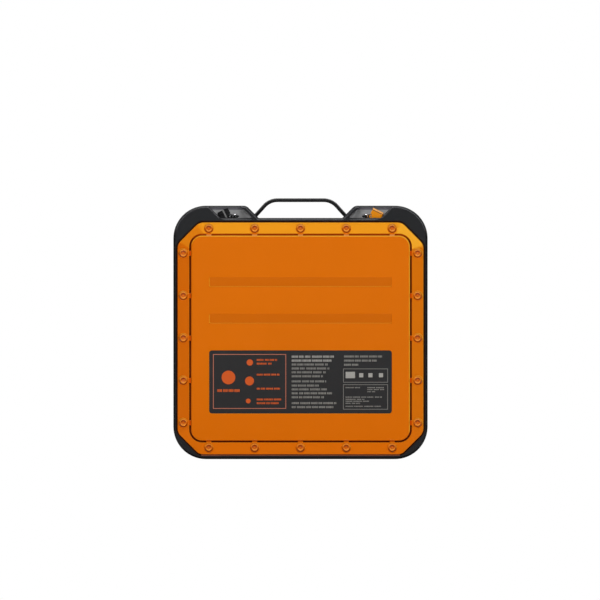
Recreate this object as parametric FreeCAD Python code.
import FreeCAD, Part
import math
import os

# Rugged 12 V jump starter pack. Millimetres, +Z up, rear face towards -Y.
# The origin is under the middle of the pack, on the surface that it stands on.

# Housing
width = 320.0
body_height = 319.0
depth = 110.0
wall = 4.0
corner_radius = 41.0
edge_chamfer = 2.4
trough_drop = 15.4
shoulder_width = 91.9
flank_round = 9.0
trough_round = 1.5
rear_setback = 8.0
front_field_depth = 1.2
front_field_margin = 30.0
front_field_radius = 22.0

# Rear cover, its screws and its seal
cover_side_margin = 5.4
cover_top_margin = 5.8
cover_bottom_margin = 6.1
cover_gap = 1.9
cover_corner_leg = 27.2
cover_vertex_radius = 13.0
rebate_depth = 6.0
rim_outer_step = 1.5
rim_width = 15.0
rim_rise = 3.4
panel_side_margin = 22.2
panel_top_margin = 22.2
panel_bottom_margin = 23.3
panel_radius = 14.0
panel_edge_round = 1.6
panel_wall = 3.5
channel_width = 2.3
channel_depth = 5.0
screw_margin = 12.6
screw_top_margin = 13.4
screw_bottom_margin = 14.5
screw_end_inset = 22.4
screws_per_side = 5
screw_boss_radius = 5.8
screw_boss_flare = 0.8
screw_boss_root = 1.0
screw_boss_below_panel = 3.3
screw_bridge_width = 6.4
screw_diameter = 6.0
screw_hole_clearance = 0.25
screw_tip_clearance = 0.2
screw_tip_room = 2.0
screw_head_radius = 5.3
screw_head_height = 3.1
screw_head_gap = 0.4
screw_brim_height = 0.6
screw_crown_radius = 3.6
screw_crown_drop = 0.5
screw_socket_width = 4.0
screw_socket_depth = 1.8
screw_length = 20.0
insert_width = 8.2
insert_length = 10.0
insert_boss_radius = 6.0
insert_boss_length = 13.0
thread_clearance = 0.05
flange_thickness = 3.2
opening_inset = 1.8
opening_radius = 14.0
gasket_width = 2.6
gasket_depth = 2.0
gasket_to_screw = 9.2

# Label and bands on the panel
field_margin = 22.8
label_bottom = 57.4
label_height = 79.5
label_thickness = 0.9
label_recess = 1.1
label_radius = 3.6
label_gap = 0.15
band_depth = 0.3
band_height = 12.6
band_radius = 2.0
band_drops = (64.5, 110.6)
band_soft = 0.6

# Terminal pockets, each with a thin plate on its sloping floor
pocket_lip_length = 8.0
pocket_drop = 1.6
pocket_back_drop = 4.8
pocket_run = 24.0
pocket_inset = 10.0
pocket_width = 40.6
pocket_round = 12.0
pocket_edge_break = 1.0
plate_thickness = 1.2
plate_gap = 0.15

# Contact studs
stud_to_edge = 77.6
stud_inset = 16.0
stud_radius = 3.0
stud_rise = 7.0
stud_dome = 1.4
stud_collar_radius = 4.8
stud_collar_height = 2.2
stud_tail = 2.0
socket_radius = 5.2
socket_drop = 5.6
seal_height = 1.2
stud_seal_inset = 0.3
bush_wall = 0.95
bush_gap = 0.02
bush_flange_radius = 6.5
bush_flange_height = 4.0
fit_gap = 0.05
nut_height = 5.0
nut_width = 10.0

# Flip caps, drawn closed over the stud and then turned open
cap_width = 10.0
cap_depth = 12.0
cap_sink = 0.8
cap_wall = 1.5
cap_round = 1.6
cap_hinge_offset = 6.2
cap_hinge_rise = 3.5
cap_open_angle = 116.0
cap_ear_radius = 2.3
cap_lug_width = 4.0
cap_stem_ahead = 0.8
cap_web_height = 6.0
cap_side_gap = 0.4
cap_floor_gap = 0.35
cap_recess_drop = 2.2
cap_recess_gap = 0.6
cap_pin_radius = 1.0
cap_line_inset = 2.2
cap_line_width = 0.8
cap_line_depth = 0.6

# Handle
handle_rise = 9.35
bar_thickness = 4.8
bar_width = 12.0
bar_edge_round = 1.2
handle_inner_bend = 19.85
leg_angle = 48.0
leg_foot_inset = 3.8
pivot_drop = 3.6
eye_inset = 9.6
eye_length = 8.0
eye_radius = 6.0
eye_gap = 0.5
handle_bush_wall = 1.0
handle_shoulder_radius = 3.0
handle_bolt_head_radius = 4.4
handle_bolt_head_height = 2.4
handle_bolt_head_gap = 0.3
handle_bolt_end_gap = 0.4
handle_bolt_thread_radius = 2.5
handle_bolt_thread_length = 9.0
handle_insert_radius = 3.6
handle_insert_length = 10.0
washer_thickness = 0.5
pivot_pocket_room = 5.0
fold_gap = 0.8
bay_depth = 10.2
bay_side_inset = 7.5
bay_rear_room = 2.5
bay_front_room = 5.65
bay_radius = 5.0

# Inside
bay_skin = 3.4
cavity_radius = 8.0
shoulder_wall = 4.0
shoulder_hollow_width = 80.0
shoulder_hollow_round = 3.0
cell_side_space = 28.9
cell_front_space = 22.0
cell_top_space = 57.5
cell_edge = 2.0
cell_gap = 1.6
cell_post_end = 24.15
cell_post_pad = 8.0
cell_post_pad_height = 3.0
cell_post_radius = 3.0
cell_post_height = 12.0
tray_wall = 2.0
tray_height = 26.0
block_rear_space = 5.0
block_low = 30.0
tray_corner_gap = 0.4
strap_width = 16.0
strap_thickness = 0.8
pad_margin = 10.0
rear_pad_margin = 20.0
rear_pad_lift = 6.0
rear_pad_middle_gap = 4.0
rear_pad_strap_gap = 2.0
bar_stock = 3.0
bar_stock_width = 20.0
bar_hole_clearance = 0.2
fuse_height = 16.0
fuse_body_length = 24.0
fuse_body_width = 16.0
fuse_body_height = 13.0
fuse_body_round = 2.0
fuse_strip_width = 12.0
fuse_strip_thickness = 1.5
fuse_tab_length = 13.0
bolt_head_height = 4.0
bolt_tail = 2.0
stud_plate_end = 5.5
riser_lift = 8.0
riser_foot_height = 14.0
lug_lift = 18.0
lug_bolt_radius = 2.0
lug_head_radius = 3.5
lug_head_height = 2.6
lug_bolt_tail = 3.0
board_thickness = 1.6
board_front_space = 13.4
board_side_space = 38.0
board_right_space = 90.0
board_top_space = 6.0
board_height = 48.0
sink_end_space = 10.0
sink_top_space = 4.0
sink_height = 30.0
sink_base = 3.0
sink_gap = 0.55
sink_fins = 12
sink_fin_thickness = 1.6
transistor_count = 8
transistor_thickness = 1.8
transistor_width = 10.0
transistor_height = 11.0
rib_places = (-87.0, -29.0, 29.0, 87.0)
rib_thickness = 2.5
standoff_radius = 4.0
board_screw_radius = 1.5
board_screw_length = 8.0
board_screw_head_radius = 2.8
board_screw_head_height = 2.0
board_edge = 5.0

# Power button, charge lamps and vent on the front
button_drop = 57.6
button_radius = 9.0
button_travel = 1.5
button_shaft_radius = 4.0
button_proud = 0.8
button_disc = 3.0
button_rim_round = 0.7
button_dish_radius = 6.5
button_dish_depth = 0.4
button_boss_radius = 13.0
button_boss_depth = 5.4
button_back_room = 0.6
button_groove_depth = 0.8
button_shaft_end = 0.8
gland_width = 1.8
gland_length = 1.8
gland_start = 1.2
clip_radius = 6.0
clip_thickness = 0.8
running_gap = 0.06
switch_size = 12.0
switch_height = 3.6
switch_tip_gap = 0.1
stem_radius = 1.75
lamp_rise = 22.0
lamp_bar_length = 44.0
lamp_bar_height = 5.0
lamp_count = 4
lamp_width = 3.5
lamp_height = 2.8
lamp_depth = 1.9
guide_gap = 0.4
guide_flange = 3.0
guide_flange_side = 2.0
guide_flange_depth = 2.0
vent_side_space = 60.0
vent_z = 60.0
vent_radius = 8.0
vent_thread_radius = 5.0
vent_neck = 0.6
vent_well = 1.6
vent_well_gap = 1.2
vent_head_under = 0.6
vent_head_proud = 0.9
vent_slot_height = 1.0
vent_slot_depth = 0.5
vent_slot_pitch = 3.0
vent_slot_inset = 2.0
vent_boss_wall = 2.0
vent_boss_depth = 4.0
vent_ring_inset = 0.4

# Worked out from the sizes above: the housing and its cover
rear = -depth / 2
front = depth / 2
rear_face = rear + rear_setback
front_field = front - front_field_depth
half = width / 2
trough_floor = body_height - trough_drop
trough_half_top = half - shoulder_width
trough_half_floor = trough_half_top - trough_drop
ledge = rear_face + rebate_depth
flange_inner = ledge + flange_thickness
cavity_front = front - wall
cover_half = half - cover_side_margin
cover_low = cover_bottom_margin
cover_high = trough_floor - cover_top_margin
rim_outer = rear_face - rim_outer_step
rim_inner = rim_outer - rim_rise
boss_face = rear + screw_boss_below_panel
panel_half = half - panel_side_margin
panel_low = panel_bottom_margin
panel_high = trough_floor - panel_top_margin
panel_middle = (panel_low + panel_high) / 2
field_half_width = panel_half - field_margin
screw_column = half - screw_margin
screw_top = trough_floor - screw_top_margin
screw_bottom = screw_bottom_margin

# Pockets, studs and caps
lip_face = trough_floor - edge_chamfer
pocket_floor_low = trough_floor - pocket_drop
pocket_floor_high = body_height - pocket_back_drop
pocket_floor_start = rear_face + pocket_lip_length
pocket_floor_end = pocket_floor_start + pocket_run
pocket_slope = (pocket_floor_high - pocket_floor_low) / pocket_run
pocket_inner_foot = trough_half_top - pocket_inset
stud_x = half - stud_to_edge
stud_y = rear_face + stud_inset
stud_top = pocket_floor_low + stud_rise
socket_floor = trough_floor - socket_drop
cap_top = body_height - cap_sink
cap_hinge_x = stud_x + cap_hinge_offset
cap_hinge_z = pocket_floor_low + cap_hinge_rise
cap_recess_floor = pocket_floor_low - cap_recess_drop

# Handle and its bay
handle_top = body_height + handle_rise
pivot_height = trough_floor - pivot_drop
eye_start = trough_half_top - eye_inset
mid_bend = handle_inner_bend + bar_thickness / 2
bend_centre_z = handle_top - bar_thickness - handle_inner_bend
leg_slope = math.radians(leg_angle)
leg_reach = (bend_centre_z + mid_bend * math.cos(leg_slope) - pivot_height) / math.sin(leg_slope)
leg_foot_x = eye_start + leg_foot_inset
handle_straight_half = leg_foot_x - leg_reach * math.cos(leg_slope) - mid_bend * math.sin(leg_slope)
pivot_pocket_radius = eye_radius + pivot_pocket_room
bay_floor = trough_floor - bay_depth
bay_half_width = eye_start - bay_side_inset
bay_rear = -bar_width / 2 - bay_rear_room
bay_front = handle_top - pivot_height + bay_front_room

# Cells and the bars that join them
cavity_top = bay_floor - bay_skin
shoulder_hollow_start = half - shoulder_hollow_width
block_rear = rear + block_rear_space
block_front = cavity_front - cell_front_space
cell_width = half - cell_side_space - cell_gap / 2
cell_depth = (block_front - block_rear - 2 * tray_wall - cell_gap) / 2
cell_post_offset = cell_width / 2 - cell_post_end
block_width = 2 * cell_width + cell_gap
tray_floor = block_low
cell_low = tray_floor + tray_wall
cell_high = cavity_top - cell_top_space
cell_height = cell_high - cell_low
row_rear = block_rear + tray_wall + cell_depth / 2
row_front = row_rear + cell_depth + cell_gap
post_seat = cell_high + cell_post_pad_height
left_post = -(cell_width + cell_gap) / 2 - cell_post_offset
inner_post = (cell_width + cell_gap) / 2 - cell_post_offset
stud_plate_top = cavity_top - bush_flange_height
stud_plate_low = stud_plate_top - bar_stock

# Control board and what it carries
board_front = cavity_front - board_front_space
board_rear = board_front - board_thickness
board_left = board_side_space - half
board_right = half - board_right_space
board_top = cavity_top - board_top_space
board_bottom = board_top - board_height
sink_half_width = board_right - sink_end_space
sink_top = board_top - sink_top_space
sink_bottom = sink_top - sink_height
sink_depth = board_rear - transistor_thickness - row_front - bar_stock_width / 2 - sink_gap
button_z = trough_floor - button_drop
lamp_z = button_z + lamp_rise
vent_x = half - vent_side_space


def v(x, y, z):
    return FreeCAD.Vector(x, y, z)


def box(x0, x1, y0, y1, z0, z1):
    low = v(min(x0, x1), min(y0, y1), min(z0, z1))
    return Part.makeBox(abs(x1 - x0), abs(y1 - y0), abs(z1 - z0), low)


def cylinder_x(x0, x1, y, z, radius):
    return Part.makeCylinder(radius, abs(x1 - x0), v(min(x0, x1), y, z), v(1, 0, 0))


def cylinder_y(x, y0, y1, z, radius):
    return Part.makeCylinder(radius, abs(y1 - y0), v(x, min(y0, y1), z), v(0, 1, 0))


def cylinder_z(x, y, z0, z1, radius):
    return Part.makeCylinder(radius, abs(z1 - z0), v(x, y, min(z0, z1)), v(0, 0, 1))


def mirrored(shape):
    return shape.mirror(v(0, 0, 0), v(1, 0, 0))


def union(shapes):
    first = shapes[0]
    if len(shapes) > 1:
        first = first.fuse(shapes[1:]).removeSplitter()
    return first


# One cut or joint at a time, which keeps a large moulding sound
def cut_each(body, tools):
    for tool in tools:
        body = body.cut(tool)
    return body


def fuse_each(body, added):
    for piece in added:
        body = body.fuse(piece)
    return body


def save(name, shapes):
    if not isinstance(shapes, list):
        shapes = [shapes]
    solids = [solid for shape in shapes for solid in shape.Solids]
    shape = solids[0] if len(solids) == 1 else Part.makeCompound(solids)
    shape.exportStep("parts/" + name + ".step")
    valid = all(solid.isValid() and solid.isClosed() for solid in solids)
    print(name, len(solids), "solid(s)", round(shape.Volume / 1000, 2), "cm3", "ok" if valid else "NOT VALID")


# A closed wire in a plane of constant y, through corners (x, z, radius) with tangent arcs
def outline(corners, y):
    edges = []
    starts = []
    ends = []
    arcs = []
    count = len(corners)
    for i in range(count):
        x, z, radius = corners[i]
        here = v(x, y, z)
        before = v(corners[i - 1][0], y, corners[i - 1][1]) - here
        after = v(corners[(i + 1) % count][0], y, corners[(i + 1) % count][1]) - here
        before.normalize()
        after.normalize()
        if radius <= 0:
            starts.append(here)
            ends.append(here)
            arcs.append(None)
            continue
        half_angle = before.getAngle(after) / 2
        reach = radius / math.tan(half_angle)
        bisector = before + after
        bisector.normalize()
        middle = here + bisector * (radius / math.sin(half_angle) - radius)
        starts.append(here + before * reach)
        ends.append(here + after * reach)
        arcs.append(Part.Arc(starts[-1], middle, ends[-1]).toShape())
    for i in range(count):
        if arcs[i]:
            edges.append(arcs[i])
        following = starts[(i + 1) % count]
        if ends[i].distanceToPoint(following) > 1e-6:
            edges.append(Part.LineSegment(ends[i], following).toShape())
    return Part.Wire(edges)


def prism(corners, y0, y1):
    face = Part.Face(outline(corners, y0))
    return face.extrude(v(0, y1 - y0, 0))


def tapered(corners0, y0, corners1, y1):
    return Part.makeLoft([outline(corners0, y0), outline(corners1, y1)], True, True)


# A prism along X from a profile of (y, z) points
def side_prism(points, x0, x1):
    line = [v(x0, y, z) for y, z in points]
    face = Part.Face(Part.makePolygon(line + [line[0]]))
    return face.extrude(v(x1 - x0, 0, 0))


def rectangle(x0, x1, z0, z1, radius):
    return [(x0, z0, radius), (x1, z0, radius), (x1, z1, radius), (x0, z1, radius)]


def hexagon(x, y, z, width, axis, height):
    ring = []
    for i in range(6):
        angle = math.radians(60 * i + 30)
        a = width / math.sqrt(3) * math.cos(angle)
        b = width / math.sqrt(3) * math.sin(angle)
        ring.append(v(x + a, y, z + b) if axis == "y" else v(x + a, y + b, z))
    face = Part.Face(Part.makePolygon(ring + [ring[0]]))
    return face.extrude(v(0, height, 0) if axis == "y" else v(0, 0, height))


# The cover's outline, grown or shrunk by a distance
def cover_outline(grow, vertex_radius):
    x = cover_half + grow
    low = cover_low - grow
    high = cover_high + grow
    leg = cover_corner_leg + grow * (2 - math.sqrt(2))
    r = vertex_radius
    return [
        (x - leg, low, r), (x, low + leg, r), (x, high - leg, r), (x - leg, high, r),
        (leg - x, high, r), (-x, high - leg, r), (-x, low + leg, r), (leg - x, low, r),
    ]


def panel_outline(grow):
    radius = panel_radius + grow
    return rectangle(-panel_half - grow, panel_half + grow, panel_low - grow, panel_high + grow, radius)


def housing_outline():
    t = trough_floor
    return [
        (-half, 0, corner_radius), (half, 0, corner_radius), (half, body_height, corner_radius),
        (trough_half_top, body_height, flank_round), (trough_half_floor, t, trough_round),
        (-trough_half_floor, t, trough_round), (-trough_half_top, body_height, flank_round),
        (-half, body_height, corner_radius),
    ]


# Screw centres (x, z) round the cover, each with the direction to the panel
def screw_places():
    places = []
    row_reach = panel_half - screw_end_inset
    column_reach = panel_high - panel_middle - screw_end_inset
    for i in range(screws_per_side):
        along = 2 * i / (screws_per_side - 1) - 1
        x = along * row_reach
        z = panel_middle + along * column_reach
        places.append((x, screw_top, 0, -1))
        places.append((x, screw_bottom, 0, 1))
        places.append((screw_column, z, -1, 0))
        places.append((-screw_column, z, 1, 0))
    return places


def pocket_outline(grow):
    rise = body_height + 10 - lip_face
    inner = pocket_inner_foot - grow
    outer = pocket_inner_foot + pocket_width + grow
    low = lip_face - grow
    return [
        (inner, low, 2.0), (outer, low, pocket_round + grow),
        (outer + rise, low + rise, 0), (inner + rise, low + rise, 0),
    ]


# The open scoop of the right-hand terminal pocket: sloping floor, lip at the rear, room for the cap
def pocket_cut():
    top = body_height + 10
    lip = edge_chamfer
    profile = [
        (rear_face - 5, lip_face), (rear_face, lip_face), (rear_face + lip, trough_floor),
        (pocket_floor_start, trough_floor), (pocket_floor_start, pocket_floor_low - plate_thickness),
        (pocket_floor_end, pocket_floor_high - plate_thickness), (pocket_floor_end, body_height - lip),
        (pocket_floor_end + lip, body_height), (pocket_floor_end + lip, top), (rear_face - 5, top),
    ]
    scoop = side_prism(profile, 0, half)
    scoop = scoop.common(prism(pocket_outline(0), rear_face - 5, pocket_floor_end + lip))
    mouth = tapered(pocket_outline(pocket_edge_break), rear_face,
                    pocket_outline(0), rear_face + pocket_edge_break)
    above_lip = box(0, half, rear_face - 1, rear_face + 5, trough_floor, top)
    return scoop.fuse(mouth.common(above_lip))


# Thin plate that lies on the pocket's floor round the socket and the cap's recess
def pocket_plate():
    low = pocket_floor_low - plate_thickness
    high = pocket_floor_high - plate_thickness
    profile = [
        (pocket_floor_start + plate_gap, low + plate_gap * pocket_slope),
        (pocket_floor_end - plate_gap, high - plate_gap * pocket_slope),
        (pocket_floor_end - plate_gap, pocket_floor_high - plate_gap * pocket_slope),
        (pocket_floor_start + plate_gap, pocket_floor_low + plate_gap * pocket_slope),
    ]
    sheet = side_prism(profile, 0, half)
    sheet = sheet.common(prism(pocket_outline(-plate_gap), rear_face, pocket_floor_end))
    socket = cylinder_z(stud_x, stud_y, low - 1, body_height, socket_radius)
    return sheet.cut([socket, cap_room(cap_recess_gap)])


# Where the flip cap lies when it is open, cut into the pocket's floor and outer wall
def cap_recess():
    floor = cap_recess_floor
    y0 = stud_y - cap_depth / 2 - cap_side_gap
    y1 = stud_y + cap_depth / 2 + cap_side_gap
    lug_half = cap_lug_width / 2
    lug = cylinder_y(cap_hinge_x, stud_y - lug_half, stud_y + lug_half, cap_hinge_z, cap_ear_radius)
    x = cap_hinge_x
    stem = box(x - cap_ear_radius, x + cap_stem_ahead, stud_y - lug_half, stud_y + lug_half,
               floor - 1, cap_hinge_z)
    pin = cylinder_y(x, y0, y1, cap_hinge_z, cap_pin_radius)
    return cap_room(cap_recess_gap).cut(lug.fuse(stem)).fuse(pin)


def cap_room(gap):
    left = cap_hinge_x - cap_ear_radius - gap
    foot = cap_turned(cap_left() + cap_width, cap_top)
    crown = cap_turned(cap_left(), cap_top)
    corners = [
        (left, cap_recess_floor, 0), (foot[0] + gap, cap_recess_floor, 0), (crown[0] + gap, crown[1], 0),
        (crown[0] + gap, body_height + 10, 0), (left, body_height + 10, 0),
    ]
    return prism(corners, stud_y - cap_depth / 2 - cap_side_gap, stud_y + cap_depth / 2 + cap_side_gap)


def cap_left():
    return stud_x - cap_width / 2


# Where a point (x, z) of the closed cap lies when the cap is open
def cap_turned(x, z):
    angle = math.radians(-cap_open_angle)
    dx = x - cap_hinge_x
    dz = z - cap_hinge_z
    return (cap_hinge_x + dx * math.cos(angle) - dz * math.sin(angle),
            cap_hinge_z + dx * math.sin(angle) + dz * math.cos(angle))


def make_cap():
    x0 = cap_left()
    x1 = x0 + cap_width
    y0 = stud_y - cap_depth / 2
    y1 = stud_y + cap_depth / 2
    low = socket_floor
    body = box(x0, x1, y0, y1, low, cap_top)
    rounded = [e for e in body.Edges if e.BoundBox.ZMin > cap_top - 0.01]
    body = body.makeFillet(cap_round, rounded)
    hollow = box(x0 + cap_wall, x1 - cap_wall, y0 + cap_wall, y1 - cap_wall, low - 1, cap_top - cap_wall)
    body = body.cut(hollow)
    floor_y = [pocket_floor_start - 10, pocket_floor_end + 10]
    floor_z = [pocket_floor_low + cap_floor_gap + (y - pocket_floor_start) * pocket_slope for y in floor_y]
    under = side_prism([(floor_y[0], low - 5), (floor_y[1], low - 5), (floor_y[1], floor_z[1]),
                        (floor_y[0], floor_z[0])], x0 - 5, x1 + 5)
    body = body.cut(under)
    body = body.cut(box(x1 - cap_wall - cap_side_gap, x1 + 1, y0 - 1, y1 + 1, low - 1, cap_hinge_z))
    lug_half = cap_lug_width / 2 + cap_side_gap
    knuckle = cylinder_y(cap_hinge_x, y0, y1, cap_hinge_z, cap_ear_radius)
    web_top = cap_hinge_z + cap_web_height
    web = prism([(x1 - cap_wall, cap_hinge_z, 0), (cap_hinge_x, cap_hinge_z, 0),
                 (cap_hinge_x + cap_ear_radius, cap_hinge_z, 0), (x1, web_top, 0),
                 (x1 - cap_wall, web_top, 0)], y0, y1)
    body = body.fuse([knuckle, web]).removeSplitter()
    body = body.cut(cylinder_y(cap_hinge_x, stud_y - lug_half, stud_y + lug_half, cap_hinge_z,
                               cap_ear_radius + cap_side_gap))
    body = body.cut(cylinder_y(cap_hinge_x, y0 - 1, y1 + 1, cap_hinge_z, cap_pin_radius + running_gap))
    line_x = x0 + cap_line_inset
    body = body.cut(box(line_x, line_x + cap_line_width, y0 - 1, y0 + cap_line_depth, low, cap_top + 1))
    body = body.removeSplitter()
    body.rotate(v(cap_hinge_x, stud_y, cap_hinge_z), v(0, 1, 0), cap_open_angle)
    return body


def cap_pin():
    return cylinder_y(cap_hinge_x, stud_y - cap_depth / 2, stud_y + cap_depth / 2, cap_hinge_z, cap_pin_radius)


# Bay in which the handle lies folded, with a round pocket for each eye
def handle_bay():
    x = bay_half_width
    slab = box(-x, x, bay_rear, bay_front, bay_floor, trough_floor + 5)
    uprights = [e for e in slab.Edges if e.BoundBox.ZLength > 5]
    slab = slab.makeFillet(bay_radius, uprights)
    above_floor = box(-half, half, -half, half, bay_floor, body_height)
    end = eye_start + eye_length + eye_gap + washer_thickness
    pocket = cylinder_x(x - bay_radius - 1, end, 0, pivot_height, pivot_pocket_radius)
    pocket = pocket.fuse(leg_sweep()).common(above_floor)
    return slab.fuse([pocket, mirrored(pocket)])


# Room ahead of the pivot for the leg as it folds: a cone round the pivot axis
def leg_sweep():
    leg_outer = leg_foot_x + bar_thickness / 2 / math.sin(leg_slope)
    start = bay_half_width - bay_radius / 2
    widest = math.hypot((leg_outer - start) * math.tan(leg_slope), bar_width / 2) + fold_gap
    end = leg_outer - (pivot_pocket_radius - 2 * fold_gap) / math.tan(leg_slope)
    narrowest = math.hypot(pivot_pocket_radius - 2 * fold_gap, bar_width / 2) + fold_gap
    cone = Part.makeCone(widest, narrowest, end - start, v(start, 0, pivot_height), v(1, 0, 0))
    return cone.common(box(start - 1, end + 1, 0, widest + 1, pivot_height - widest, body_height))


def handle_insert_start():
    return eye_start + eye_length + eye_gap + washer_thickness


# The solid outer form of the housing, with a shallow field in its front
def housing_block():
    body = prism(housing_outline(), rear_face, front)
    sharp = [e for e in body.Edges if e.BoundBox.YLength < 0.01]
    body = body.makeChamfer(edge_chamfer, sharp)
    m = front_field_margin
    field = rectangle(m - half, half - m, m, trough_floor - m, front_field_radius)
    wide = m - front_field_depth
    wider = rectangle(wide - half, half - wide, wide, trough_floor - wide,
                      front_field_radius + front_field_depth)
    return body.cut(tapered(field, front_field, wider, front))


# Rebate for the cover, mouth of the tub, the hollow behind its flange and two hollows in the shoulders
def housing_hollows():
    inner = corner_radius - wall
    rebate = prism(cover_outline(cover_gap, cover_vertex_radius), rear_face - 1, ledge)
    mouth = rectangle(opening_inset - panel_half, panel_half - opening_inset, panel_low + opening_inset,
                      panel_high - opening_inset, opening_radius)
    hollow = [(wall - half, wall, inner), (half - wall, wall, inner), (half - wall, cavity_top, cavity_radius),
              (wall - half, cavity_top, cavity_radius)]
    rise = body_height - shoulder_wall
    low = rise - inner - 2
    shoulder = [(shoulder_hollow_start, low, 0), (half - wall, low, 0),
                (half - wall, rise, inner), (shoulder_hollow_start, rise, shoulder_hollow_round)]
    shoulder = prism(shoulder, pocket_floor_end + wall, cavity_front)
    return [rebate, prism(mouth, ledge - 1, flange_inner + 1), prism(hollow, flange_inner, cavity_front),
            shoulder, mirrored(shoulder)]


# Screw bosses behind the flange, ribs behind the front wall, bosses for button, board and vent
def housing_bosses():
    added = []
    for place in screw_places():
        added.append(cylinder_y(place[0], flange_inner - 1, ledge + insert_boss_length, place[1],
                                insert_boss_radius))
    for x in rib_places:
        side = rib_thickness / 2
        rib = box(x - side, x + side, flange_inner - 1, cavity_front + 1, wall - 1, cell_high)
        added.append(rib.cut(box(-half, half, rear, block_front, block_low, cell_high + 1)))
    added.append(cylinder_y(0, cavity_front - button_boss_depth, cavity_front + 1, button_z,
                            button_boss_radius))
    added.append(cylinder_y(vent_x, cavity_front - vent_boss_depth, cavity_front + 1, vent_z,
                            vent_radius + vent_boss_wall))
    for x, z in board_screw_places():
        added.append(cylinder_y(x, board_front, cavity_front + 1, z, standoff_radius))
    return added


# Handle bay, pockets, sockets and every hole
def housing_holes():
    holes = [handle_bay(), gasket_ring()] + paired(pocket_cut()) + paired(cap_recess())
    for place in screw_places():
        x, z = place[0], place[1]
        holes.append(hexagon(x, ledge - 1, z, insert_width, "y", insert_length + 1))
        holes.append(cylinder_y(x, ledge, ledge + insert_length + screw_tip_room, z,
                                screw_diameter / 2 + screw_tip_clearance))
    insert_start = handle_insert_start()
    for side in (-1, 1):
        x = side * stud_x
        holes.append(cylinder_z(x, stud_y, socket_floor, body_height, socket_radius))
        holes.append(cylinder_z(x, stud_y, cavity_top - 1, socket_floor, stud_radius + fit_gap + bush_wall))
        holes.append(cylinder_x(side * (insert_start - 1), side * (insert_start + handle_insert_length), 0,
                                pivot_height, handle_insert_radius))
    holes.append(cylinder_y(0, cavity_front - button_boss_depth - 1, front + 1, button_z,
                            button_shaft_radius + running_gap))
    holes.append(cylinder_y(0, button_back() - button_travel - button_back_room, front + 1, button_z,
                            button_radius + running_gap))
    holes += [button_gland(), lamp_slot(0)]
    holes.append(cylinder_y(vent_x, cavity_front - vent_boss_depth - 1, front + 1, vent_z, vent_thread_radius))
    holes.append(cylinder_y(vent_x, front_field - vent_well, front + 1, vent_z, vent_radius + vent_well_gap))
    for x, z in board_screw_places():
        holes.append(cylinder_y(x, board_front - 1, board_front + board_screw_length + 1, z,
                                board_screw_radius))
    return holes


def make_housing():
    body = cut_each(housing_block(), housing_hollows())
    body = fuse_each(body, housing_bosses())
    return cut_each(body, housing_holes())


def gasket_ring():
    middle = panel_side_margin - screw_margin - gasket_to_screw
    outer = panel_outline(middle + gasket_width / 2)
    inner = panel_outline(middle - gasket_width / 2)
    ring = prism(outer, ledge, ledge + gasket_depth)
    return ring.cut(prism(inner, ledge - 1, ledge + gasket_depth + 1))


def make_cover():
    rim = prism(cover_outline(0, cover_vertex_radius), ledge, rim_outer)
    slope = tapered(cover_outline(0, cover_vertex_radius), rim_outer, cover_outline(-rim_width, 1.0), rim_inner)
    panel = prism(panel_outline(0), ledge, rear)
    front_edges = [e for e in panel.Edges if e.BoundBox.YMax < rear + 0.01]
    panel = panel.makeFillet(panel_edge_round, front_edges)
    outer = prism(panel_outline(channel_width), rim_inner + channel_depth, rear - 1)
    channel = outer.cut(prism(panel_outline(0), rim_inner + channel_depth + 1, rear - 2))
    body = rim.fuse(slope).cut(channel).fuse(panel)

    # Bosses with flat seats, each tied to the panel by a short bridge over the channel
    bosses = []
    root = rim_outer + screw_boss_root
    for x, z, dx, dz in screw_places():
        bosses.append(Part.makeCone(screw_boss_radius + screw_boss_flare, screw_boss_radius,
                                    root - boss_face, v(x, root, z), v(0, -1, 0)))
        reach = panel_side_margin - screw_margin + 1
        side = screw_bridge_width / 2
        bosses.append(box(x - side * abs(dz), x + side * abs(dz) + dx * reach, ledge, boss_face,
                          z - side * abs(dx), z + side * abs(dx) + dz * reach))
    body = fuse_each(body, bosses)

    holes = []
    grow = panel_outline(-panel_wall)
    holes.append(prism(grow, ledge + 1, rear + panel_wall))
    for x, z, dx, dz in screw_places():
        holes.append(cylinder_y(x, rear - 1, ledge + 1, z, screw_diameter / 2 + screw_hole_clearance))
        holes.append(cylinder_y(x, rear - 1, boss_face, z, screw_head_radius + screw_head_gap))
    holes.append(prism(label_outline(0), rear - 1, rear + label_recess))
    for drop in band_drops:
        low = panel_high - drop
        inner = rectangle(-field_half_width + band_soft, field_half_width - band_soft, low + band_soft,
                          low + band_height - band_soft, band_radius - band_soft)
        outer = rectangle(-field_half_width, field_half_width, low, low + band_height, band_radius)
        holes.append(tapered(outer, rear, inner, rear + band_depth))
    return body.cut(holes).removeSplitter()


def label_outline(gap):
    x = field_half_width - gap
    return rectangle(-x, x, label_bottom + gap, label_bottom + label_height - gap, label_radius - gap)


def make_label():
    return prism(label_outline(label_gap), rear + label_recess, rear + label_recess - label_thickness)


# Button head: brim, cone and flat crown, with a hexagon socket and a plain shank
def make_screw(x, z):
    brim = cylinder_y(x, boss_face - screw_brim_height, boss_face, z, screw_head_radius)
    slope = screw_head_height - screw_brim_height - screw_crown_drop
    cone = Part.makeCone(screw_head_radius, screw_crown_radius, slope,
                         v(x, boss_face - screw_brim_height, z), v(0, -1, 0))
    top = boss_face - screw_head_height + screw_crown_drop
    socket = hexagon(x, top - 1, z, screw_socket_width, "y", 1 + screw_socket_depth)
    shank = cylinder_y(x, boss_face, boss_face + screw_length, z, screw_diameter / 2)
    return brim.fuse([cone, shank]).removeSplitter().cut(socket)


def make_insert(x, z):
    outer = hexagon(x, ledge, z, insert_width, "y", insert_length)
    bore = screw_diameter / 2 + thread_clearance
    return outer.cut(cylinder_y(x, ledge - 1, ledge + insert_length + 1, z, bore))


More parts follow.
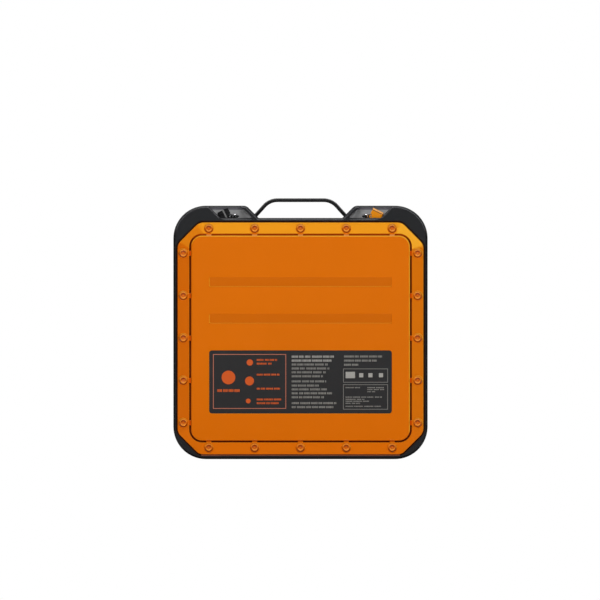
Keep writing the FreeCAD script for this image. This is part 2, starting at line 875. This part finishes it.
def make_stud():
    x = stud_x
    collar_low = socket_floor + seal_height
    collar_high = collar_low + stud_collar_height
    shank = cylinder_z(x, stud_y, stud_plate_low - nut_height - stud_tail, stud_top - stud_dome, stud_radius)
    collar = cylinder_z(x, stud_y, collar_low, collar_high, stud_collar_radius)
    sphere_radius = (stud_radius ** 2 + stud_dome ** 2) / (2 * stud_dome)
    ball = Part.makeSphere(sphere_radius, v(x, stud_y, stud_top - sphere_radius))
    dome = ball.common(cylinder_z(x, stud_y, stud_top - stud_dome, stud_top + 1, stud_radius))
    return shank.fuse([collar, dome]).removeSplitter()


def tube_z(x, y, z0, z1, outer, inner):
    return cylinder_z(x, y, z0, z1, outer).cut(cylinder_z(x, y, z0 - 1, z1 + 1, inner))


def stud_seal(x):
    outer = stud_collar_radius - stud_seal_inset
    return tube_z(x, stud_y, socket_floor, socket_floor + seal_height, outer, stud_radius + fit_gap)


def stud_bush(x):
    outer = stud_radius + fit_gap + bush_wall - bush_gap
    sleeve = tube_z(x, stud_y, stud_plate_top, socket_floor, outer, stud_radius + fit_gap)
    flange = tube_z(x, stud_y, stud_plate_top, cavity_top, bush_flange_radius, stud_radius + fit_gap)
    return sleeve.fuse(flange).removeSplitter()


def nut_z(x, y, z, radius):
    return hexagon(x, y, z, nut_width, "z", nut_height).cut(cylinder_z(x, y, z - 1, z + nut_height + 1, radius))


def stud_nut(x):
    return nut_z(x, stud_y, stud_plate_low - nut_height, stud_radius + fit_gap)


# Bent flat bar: top line straight, two round bends, two legs, and an eye at each foot
def make_handle():
    outer_radius = handle_inner_bend + bar_thickness
    leg = v(math.cos(leg_slope), 0, -math.sin(leg_slope))

    def bend_point(radius, turn):
        return v(handle_straight_half + radius * math.sin(turn), 0, bend_centre_z + radius * math.cos(turn))

    def half_path(radius):
        start = bend_point(radius, 0)
        end = bend_point(radius, leg_slope)
        foot = end + leg * leg_reach
        return start, bend_point(radius, leg_slope / 2), end, foot

    start_o, mid_o, end_o, foot_o = half_path(outer_radius)
    start_i, mid_i, end_i, foot_i = half_path(handle_inner_bend)
    centre_o = v(0, 0, start_o.z)
    centre_i = v(0, 0, start_i.z)
    edges = [
        Part.LineSegment(centre_o, start_o).toShape(), Part.Arc(start_o, mid_o, end_o).toShape(),
        Part.LineSegment(end_o, foot_o).toShape(), Part.LineSegment(foot_o, foot_i).toShape(),
        Part.LineSegment(foot_i, end_i).toShape(), Part.Arc(end_i, mid_i, start_i).toShape(),
        Part.LineSegment(start_i, centre_i).toShape(), Part.LineSegment(centre_i, centre_o).toShape(),
    ]
    face = Part.Face(Part.Wire(edges))
    face.translate(v(0, -bar_width / 2, 0))
    right = face.extrude(v(0, bar_width, 0))
    bar = right.fuse(mirrored(right)).removeSplitter()
    above_eye = pivot_height + eye_radius
    long_edges = [e for e in bar.Edges if e.BoundBox.YLength < 0.01 and e.BoundBox.ZMax > above_eye]
    bar = bar.makeFillet(bar_edge_round, long_edges)
    below = box(-half, half, -half, half, 0, pivot_height)
    bar = bar.cut(below)
    end = eye_start + eye_length
    eye = cylinder_x(eye_start, end, 0, pivot_height, eye_radius)
    keep = box(-end, end, -bar_width, bar_width, 0, handle_top + 1)
    bar = bar.common(keep).fuse([eye, mirrored(eye)])
    bore = handle_shoulder_radius + running_gap + handle_bush_wall
    hole = cylinder_x(eye_start - 1, end + 1, 0, pivot_height, bore)
    sink = cylinder_x(0, eye_start + handle_bolt_head_height + handle_bolt_end_gap, 0, pivot_height,
                      handle_bolt_head_radius + handle_bolt_head_gap)
    return bar.cut([hole, mirrored(hole), sink, mirrored(sink)]).removeSplitter()


def handle_bush():
    bore = handle_shoulder_radius + running_gap
    x0 = eye_start + handle_bolt_head_height + handle_bolt_end_gap
    x1 = eye_start + eye_length
    tube = cylinder_x(x0, x1, 0, pivot_height, bore + handle_bush_wall)
    return tube.cut(cylinder_x(x0 - 1, x1 + 1, 0, pivot_height, bore))


def handle_bolt():
    x0 = eye_start
    x1 = x0 + handle_bolt_head_height
    x2 = handle_insert_start()
    head = cylinder_x(x0, x1, 0, pivot_height, handle_bolt_head_radius)
    shoulder = cylinder_x(x1, x2, 0, pivot_height, handle_shoulder_radius)
    thread = cylinder_x(x2, x2 + handle_bolt_thread_length, 0, pivot_height, handle_bolt_thread_radius)
    return head.fuse([shoulder, thread]).removeSplitter()


def handle_washer():
    x1 = handle_insert_start()
    disc = cylinder_x(x1 - washer_thickness, x1, 0, pivot_height, eye_radius)
    return disc.cut(cylinder_x(x1 - 2, x1 + 1, 0, pivot_height, handle_shoulder_radius + running_gap))


def handle_insert():
    x0 = handle_insert_start()
    x1 = x0 + handle_insert_length
    tube = cylinder_x(x0, x1, 0, pivot_height, handle_insert_radius)
    return tube.cut(cylinder_x(x0 - 1, x1 + 1, 0, pivot_height, handle_bolt_thread_radius + thread_clearance))


def cell_places():
    x = (cell_width + cell_gap) / 2
    return [(-x, row_rear), (x, row_rear), (x, row_front), (-x, row_front)]


def make_cell(x, y):
    wide = cell_width / 2
    deep = cell_depth / 2
    can = box(x - wide, x + wide, y - deep, y + deep, cell_low, cell_high)
    upright = [e for e in can.Edges if e.BoundBox.ZLength > cell_height / 2]
    can = can.makeFillet(cell_edge, upright)
    posts = []
    for side in (-1, 1):
        px = x + side * cell_post_offset
        posts.append(cylinder_z(px, y, cell_high, post_seat, cell_post_pad))
        posts.append(cylinder_z(px, y, post_seat, post_seat + cell_post_height, cell_post_radius))
    return can.fuse(posts).removeSplitter()


def make_tray():
    x = block_width / 2
    w = tray_wall
    tray = box(-x - w, x + w, block_rear, block_front, tray_floor, tray_floor + tray_height)
    for cx, cy in cell_places():
        tray = tray.cut(box(cx - cell_width / 2, cx + cell_width / 2, cy - cell_depth / 2, cy + cell_depth / 2,
                            cell_low, cell_high))
    for side in (-1, 1):
        sx = side * (cell_width + cell_gap) / 2
        tray = tray.cut(box(sx - strap_width / 2, sx + strap_width / 2, block_rear - 1, block_front + 1,
                            tray_floor - 1, tray_floor + strap_thickness))
    return tray.common(prism(panel_outline(-panel_wall - tray_corner_gap), block_rear, block_front))


def make_strap(x):
    x0 = x - strap_width / 2
    x1 = x + strap_width / 2
    t = strap_thickness
    outer = box(x0, x1, block_rear - t, block_front + t, tray_floor, cell_high + t)
    inner = box(x0 - 1, x1 + 1, block_rear, block_front, tray_floor + t, cell_high)
    return outer.cut(inner)


def row_pad():
    y = (row_rear + row_front) / 2
    low = tray_floor + tray_height
    near = cell_gap / 2 + pad_margin
    far = cell_gap / 2 + cell_width - pad_margin
    thin = cell_gap / 2
    return [box(side * near, side * far, y - thin, y + thin, low, cell_high - pad_margin) for side in (-1, 1)]


def rear_pad():
    y0 = rear + panel_wall
    y1 = row_rear - cell_depth / 2
    near = cell_gap / 2 + rear_pad_middle_gap
    far = (cell_width + cell_gap) / 2 - strap_width / 2 - rear_pad_strap_gap
    low = tray_floor + tray_height + rear_pad_lift
    return [box(side * near, side * far, y0, y1, low, cell_high - rear_pad_margin) for side in (-1, 1)]


# Flat bar between two cell posts
def make_link(x0, y0, x1, y1):
    w = bar_stock_width / 2
    top = post_seat + bar_stock
    bar = box(min(x0, x1) - w, max(x0, x1) + w, min(y0, y1) - w, max(y0, y1) + w, post_seat, top)
    for x, y in ((x0, y0), (x1, y1)):
        bar = bar.cut(post_hole(x, y, post_seat))
    return bar


def post_hole(x, y, z):
    return cylinder_z(x, y, z - 1, z + bar_stock + 1, cell_post_radius + bar_hole_clearance)


def make_links():
    return [
        make_link(inner_post * -1, row_rear, inner_post, row_rear),
        make_link(-left_post, row_rear, -left_post, row_front),
        make_link(inner_post * -1, row_front, inner_post, row_front),
    ]


def post_nuts():
    nuts = []
    bore = cell_post_radius + fit_gap
    for x, y in cell_places():
        for side in (-1, 1):
            nuts.append(nut_z(x + side * cell_post_offset, y, post_seat + bar_stock, bore))
    return nuts


def fuse_level():
    return post_seat + fuse_height


# From the last cell's positive post up to the fuse
def positive_riser():
    w = bar_stock_width / 2
    x = left_post
    t = bar_stock
    top = fuse_level()
    tab = box(x - w, x + w, row_front - w, row_front + w, post_seat, post_seat + t)
    plate = box(x + w - t, x + w, row_front - w, row_front + w, post_seat, top)
    shelf = box(x + w - t, x + w + fuse_tab_length, row_front - w, row_front + w, top - t, top)
    bar = union([tab, plate, shelf]).cut(post_hole(x, row_front, post_seat))
    return bar.cut(cylinder_z(fuse_bolt_x(0), row_front, top - t - 1, top + 1, cell_post_radius))


def fuse_bolt_x(end):
    start = left_post + bar_stock_width / 2 + fuse_tab_length / 2
    return start + end * (fuse_tab_length + fuse_body_length)


def make_fuse():
    x0 = left_post + bar_stock_width / 2
    x1 = x0 + 2 * fuse_tab_length + fuse_body_length
    z = fuse_level()
    flat = fuse_strip_width / 2
    side = fuse_body_width / 2
    strip = box(x0, x1, row_front - flat, row_front + flat, z, z + fuse_strip_thickness)
    body = box(x0 + fuse_tab_length, x1 - fuse_tab_length, row_front - side, row_front + side,
               z, z + fuse_body_height)
    long_edges = [e for e in body.Edges if e.BoundBox.YLength < 0.01 and e.BoundBox.ZMin > z + 1]
    body = body.makeFillet(fuse_body_round, long_edges)
    fuse = strip.fuse(body).removeSplitter()
    for end in (0, 1):
        hole = cylinder_z(fuse_bolt_x(end), row_front, z - 1, z + fuse_strip_thickness + 1, cell_post_radius)
        fuse = fuse.cut(hole)
    return fuse


def fuse_bolt(end):
    x = fuse_bolt_x(end)
    z = fuse_level()
    seat = z + fuse_strip_thickness
    shank = cylinder_z(x, row_front, z - bar_stock - nut_height - bolt_tail, seat, cell_post_radius - fit_gap)
    head = hexagon(x, row_front, seat, nut_width, "z", bolt_head_height)
    return shank.fuse(head).removeSplitter()


def fuse_nut(end):
    return nut_z(fuse_bolt_x(end), row_front, fuse_level() - bar_stock - nut_height, cell_post_radius)


# From the fuse across to the positive stud
def positive_busbar():
    w = bar_stock_width / 2
    t = bar_stock
    level = fuse_level()
    start = fuse_bolt_x(1) - fuse_tab_length / 2
    run = box(start, stud_x + w, row_front - w, row_front + w, level - t, level)
    plate = box(stud_x + w - t, stud_x + w, row_front - w, row_front + w, level - t, stud_plate_top)
    return union([run, plate, stud_plate(stud_x, row_front + w)]).cut(
        [cylinder_z(fuse_bolt_x(1), row_front, level - t - 1, level + 1, cell_post_radius), stud_hole(stud_x)])


def stud_plate(x, y_end):
    w = bar_stock_width / 2
    return box(x - w, x + w, stud_y - stud_plate_end, y_end, stud_plate_low, stud_plate_top)


def stud_hole(x):
    return cylinder_z(x, stud_y, stud_plate_low - 1, stud_plate_top + 1, stud_radius + bar_hole_clearance)


# From the first cell's negative post forward to the control board
def negative_riser():
    w = bar_stock_width / 2
    t = bar_stock
    x = left_post
    top = fuse_level() + riser_lift
    tab = box(x - w, x + w, row_rear - w, row_rear + w, post_seat, post_seat + t)
    plate = box(x - w, x - w + t, row_rear - w, row_rear + w, post_seat, top)
    run = box(x - w, x, row_rear - w, board_rear, top - t, top)
    foot = box(x - w, x, board_rear - t, board_rear, top - t, top + riser_foot_height)
    bar = union([tab, plate, run, foot]).cut(post_hole(x, row_rear, post_seat))
    return bar.cut(lug_hole(0))


def lug_place(end):
    x = left_post - bar_stock_width / 4 if end == 0 else -stud_x
    return x, fuse_level() + lug_lift


def lug_hole(end):
    x, z = lug_place(end)
    return cylinder_y(x, board_rear - bar_stock - 1, board_front + 1, z, lug_bolt_radius)


def lug_bolt(end):
    x, z = lug_place(end)
    seat = board_rear - bar_stock
    shank = cylinder_y(x, seat, board_front + lug_bolt_tail, z, lug_bolt_radius - fit_gap)
    head = cylinder_y(x, seat - lug_head_height, seat, z, lug_head_radius)
    return shank.fuse(head).removeSplitter()


# From the control board back to the negative stud
def negative_busbar():
    w = bar_stock_width / 2
    t = bar_stock
    low = fuse_level() + riser_lift
    plate = box(-stud_x - w, -stud_x + w, board_rear - t, board_rear, low, stud_plate_top)
    bar = union([plate, stud_plate(-stud_x, board_rear)])
    return bar.cut([stud_hole(-stud_x), lug_hole(1)])


def board_screw_places():
    x0 = board_left + board_edge
    x1 = board_right - board_edge
    return [(x, z) for x in (x0, x1) for z in (board_bottom + board_edge, board_top - board_edge)]


def make_board():
    board = box(board_left, board_right, board_rear, board_front, board_bottom, board_top)
    holes = [cylinder_y(x, board_rear - 1, board_front + 1, z, board_screw_radius + bar_hole_clearance)
             for x, z in board_screw_places()]
    return board.cut(holes + [lug_hole(0), lug_hole(1)])


def board_screw(x, z):
    shank = cylinder_y(x, board_rear, board_front + board_screw_length, z, board_screw_radius - fit_gap)
    head = cylinder_y(x, board_rear - board_screw_head_height, board_rear, z, board_screw_head_radius)
    return shank.fuse(head).removeSplitter()


def transistors():
    row = []
    pitch = 2 * sink_half_width / transistor_count
    z = (sink_bottom + sink_top) / 2
    side = transistor_width / 2
    tall = transistor_height / 2
    for i in range(transistor_count):
        x = (i + 0.5) * pitch - sink_half_width
        row.append(box(x - side, x + side, board_rear - transistor_thickness, board_rear, z - tall, z + tall))
    return row


def heat_sink():
    face = board_rear - transistor_thickness
    x = sink_half_width
    sink = [box(-x, x, face - sink_base, face, sink_bottom, sink_top)]
    pitch = (2 * x - sink_fin_thickness) / (sink_fins - 1)
    for i in range(sink_fins):
        x0 = i * pitch - x
        sink.append(box(x0, x0 + sink_fin_thickness, face - sink_depth, face - sink_base,
                        sink_bottom, sink_top))
    return union(sink)


def button_back():
    return front_field + button_proud - button_disc


def make_button():
    back = button_back()
    face = back + button_disc
    disc = cylinder_y(0, back, face, button_z, button_radius)
    rim = [e for e in disc.Edges if e.BoundBox.YMin > face - 0.01]
    disc = disc.makeFillet(button_rim_round, rim)
    dish = cylinder_y(0, face - button_dish_depth, face + 1, button_z, button_dish_radius)
    inner = cavity_front - button_boss_depth
    shaft = cylinder_y(0, inner - clip_thickness - button_shaft_end, back, button_z, button_shaft_radius)
    groove = cylinder_y(0, inner - clip_thickness, inner, button_z, button_shaft_radius + 1)
    groove = groove.cut(cylinder_y(0, inner - clip_thickness - 1, inner + 1, button_z, groove_radius()))
    return disc.cut(dish).fuse(shaft).cut(groove).removeSplitter()


def groove_radius():
    return button_shaft_radius - button_groove_depth


def button_clip():
    inner = cavity_front - button_boss_depth
    ring = cylinder_y(0, inner - clip_thickness, inner, button_z, clip_radius)
    return ring.cut(cylinder_y(0, inner - clip_thickness - 1, inner + 1, button_z, groove_radius()))


def button_gland():
    y = cavity_front - button_boss_depth + gland_start
    return cylinder_y(0, y, y + gland_length, button_z, button_shaft_radius + gland_width)


def button_seal():
    y = cavity_front - button_boss_depth
    bore = cylinder_y(0, y, y + button_boss_depth, button_z, button_shaft_radius + running_gap)
    return button_gland().cut(bore)


def push_switch():
    s = switch_size / 2
    case = box(-s, s, board_front, board_front + switch_height, button_z - s, button_z + s)
    shaft_end = cavity_front - button_boss_depth - clip_thickness - button_shaft_end
    tip = shaft_end - button_travel - switch_tip_gap
    return case.fuse(cylinder_y(0, board_front + switch_height, tip, button_z, stem_radius)).removeSplitter()


def lamp_slot(gap):
    x = lamp_bar_length / 2 - gap
    z = lamp_bar_height / 2 - gap
    return prism(rectangle(-x, x, lamp_z - z, lamp_z + z, z - 0.01), cavity_front - 1, front + 1)


def light_guide():
    x = lamp_bar_length / 2
    z = lamp_bar_height / 2
    back = board_front + lamp_depth + guide_gap
    bar = prism(rectangle(-x, x, lamp_z - z, lamp_z + z, z - 0.01), back, front_field)
    flange = box(-x - guide_flange, x + guide_flange, cavity_front - guide_flange_depth, cavity_front,
                 lamp_z - z - guide_flange_side, lamp_z + z + guide_flange_side)
    return bar.fuse(flange).removeSplitter()


def charge_lamps():
    pitch = lamp_bar_length / lamp_count
    row = []
    for i in range(lamp_count):
        x = (i + 0.5) * pitch - lamp_bar_length / 2
        row.append(box(x - lamp_width / 2, x + lamp_width / 2, board_front, board_front + lamp_depth,
                       lamp_z - lamp_height / 2, lamp_z + lamp_height / 2))
    return row


def vent():
    well = front_field - vent_well
    under = front_field - vent_head_under
    face = front_field + vent_head_proud
    stem = cylinder_y(vent_x, cavity_front - vent_boss_depth, well, vent_z, vent_thread_radius - fit_gap)
    neck = cylinder_y(vent_x, well, under, vent_z, vent_thread_radius + vent_neck)
    head = cylinder_y(vent_x, under, face, vent_z, vent_radius)
    reach = vent_radius - vent_slot_inset
    slots = []
    for step in (-1, 0, 1):
        z = vent_z + step * vent_slot_pitch - vent_slot_height / 2
        slots.append(box(vent_x - reach, vent_x + reach, face - vent_slot_depth, face + 1,
                         z, z + vent_slot_height))
    return stem.fuse([head, neck]).cut(slots).removeSplitter()


def vent_ring():
    well = front_field - vent_well
    under = front_field - vent_head_under
    ring = cylinder_y(vent_x, well, under, vent_z, vent_radius - vent_ring_inset)
    return ring.cut(cylinder_y(vent_x, well - 1, under + 1, vent_z, vent_thread_radius + vent_neck))


def both_sides(make):
    return [make(stud_x), make(-stud_x)]


def paired(shape):
    return [shape, mirrored(shape)]


def save_shell():
    save("housing", make_housing())
    save("rear_cover", make_cover())
    save("label_plate", make_label())
    save("cover_gasket", gasket_ring())
    save("cover_screws", [make_screw(place[0], place[1]) for place in screw_places()])
    save("screw_inserts", [make_insert(place[0], place[1]) for place in screw_places()])


def save_terminals():
    save("pocket_plates", paired(pocket_plate()))
    save("positive_stud", make_stud())
    save("negative_stud", mirrored(make_stud()))
    save("stud_seals", both_sides(stud_seal))
    save("stud_bushes", both_sides(stud_bush))
    save("stud_nuts", both_sides(stud_nut))
    cap = make_cap()
    save("positive_cap", cap)
    save("negative_cap", mirrored(cap))
    save("cap_pins", paired(cap_pin()))


def save_handle():
    save("handle", make_handle())
    save("handle_bushes", paired(handle_bush()))
    save("handle_bolts", paired(handle_bolt()))
    save("handle_washers", paired(handle_washer()))
    save("handle_inserts", paired(handle_insert()))


def save_battery():
    save("cell_tray", make_tray())
    for number, (x, y) in enumerate(cell_places(), 1):
        save("cell_" + str(number), make_cell(x, y))
    strap_x = (cell_width + cell_gap) / 2
    save("cell_straps", [make_strap(-strap_x), make_strap(strap_x)])
    save("row_pads", row_pad())
    save("rear_pads", rear_pad())
    save("series_links", make_links())
    save("post_nuts", post_nuts())
    save("positive_riser", positive_riser())
    save("main_fuse", make_fuse())
    save("fuse_bolts", [fuse_bolt(0), fuse_bolt(1)])
    save("fuse_nuts", [fuse_nut(0), fuse_nut(1)])
    save("positive_busbar", positive_busbar())
    save("negative_riser", negative_riser())
    save("negative_busbar", negative_busbar())


def save_electronics():
    save("board_lug_bolts", [lug_bolt(0), lug_bolt(1)])
    save("control_board", make_board())
    save("board_screws", [board_screw(x, z) for x, z in board_screw_places()])
    save("power_transistors", transistors())
    save("heat_sink", heat_sink())
    save("power_button", make_button())
    save("button_clip", button_clip())
    save("button_seal", button_seal())
    save("push_switch", push_switch())
    save("light_guide", light_guide())
    save("charge_lamps", charge_lamps())
    save("pressure_vent", vent())
    save("vent_seal", vent_ring())


os.makedirs("parts", exist_ok=True)
save_shell()
save_terminals()
save_handle()
save_battery()
save_electronics()
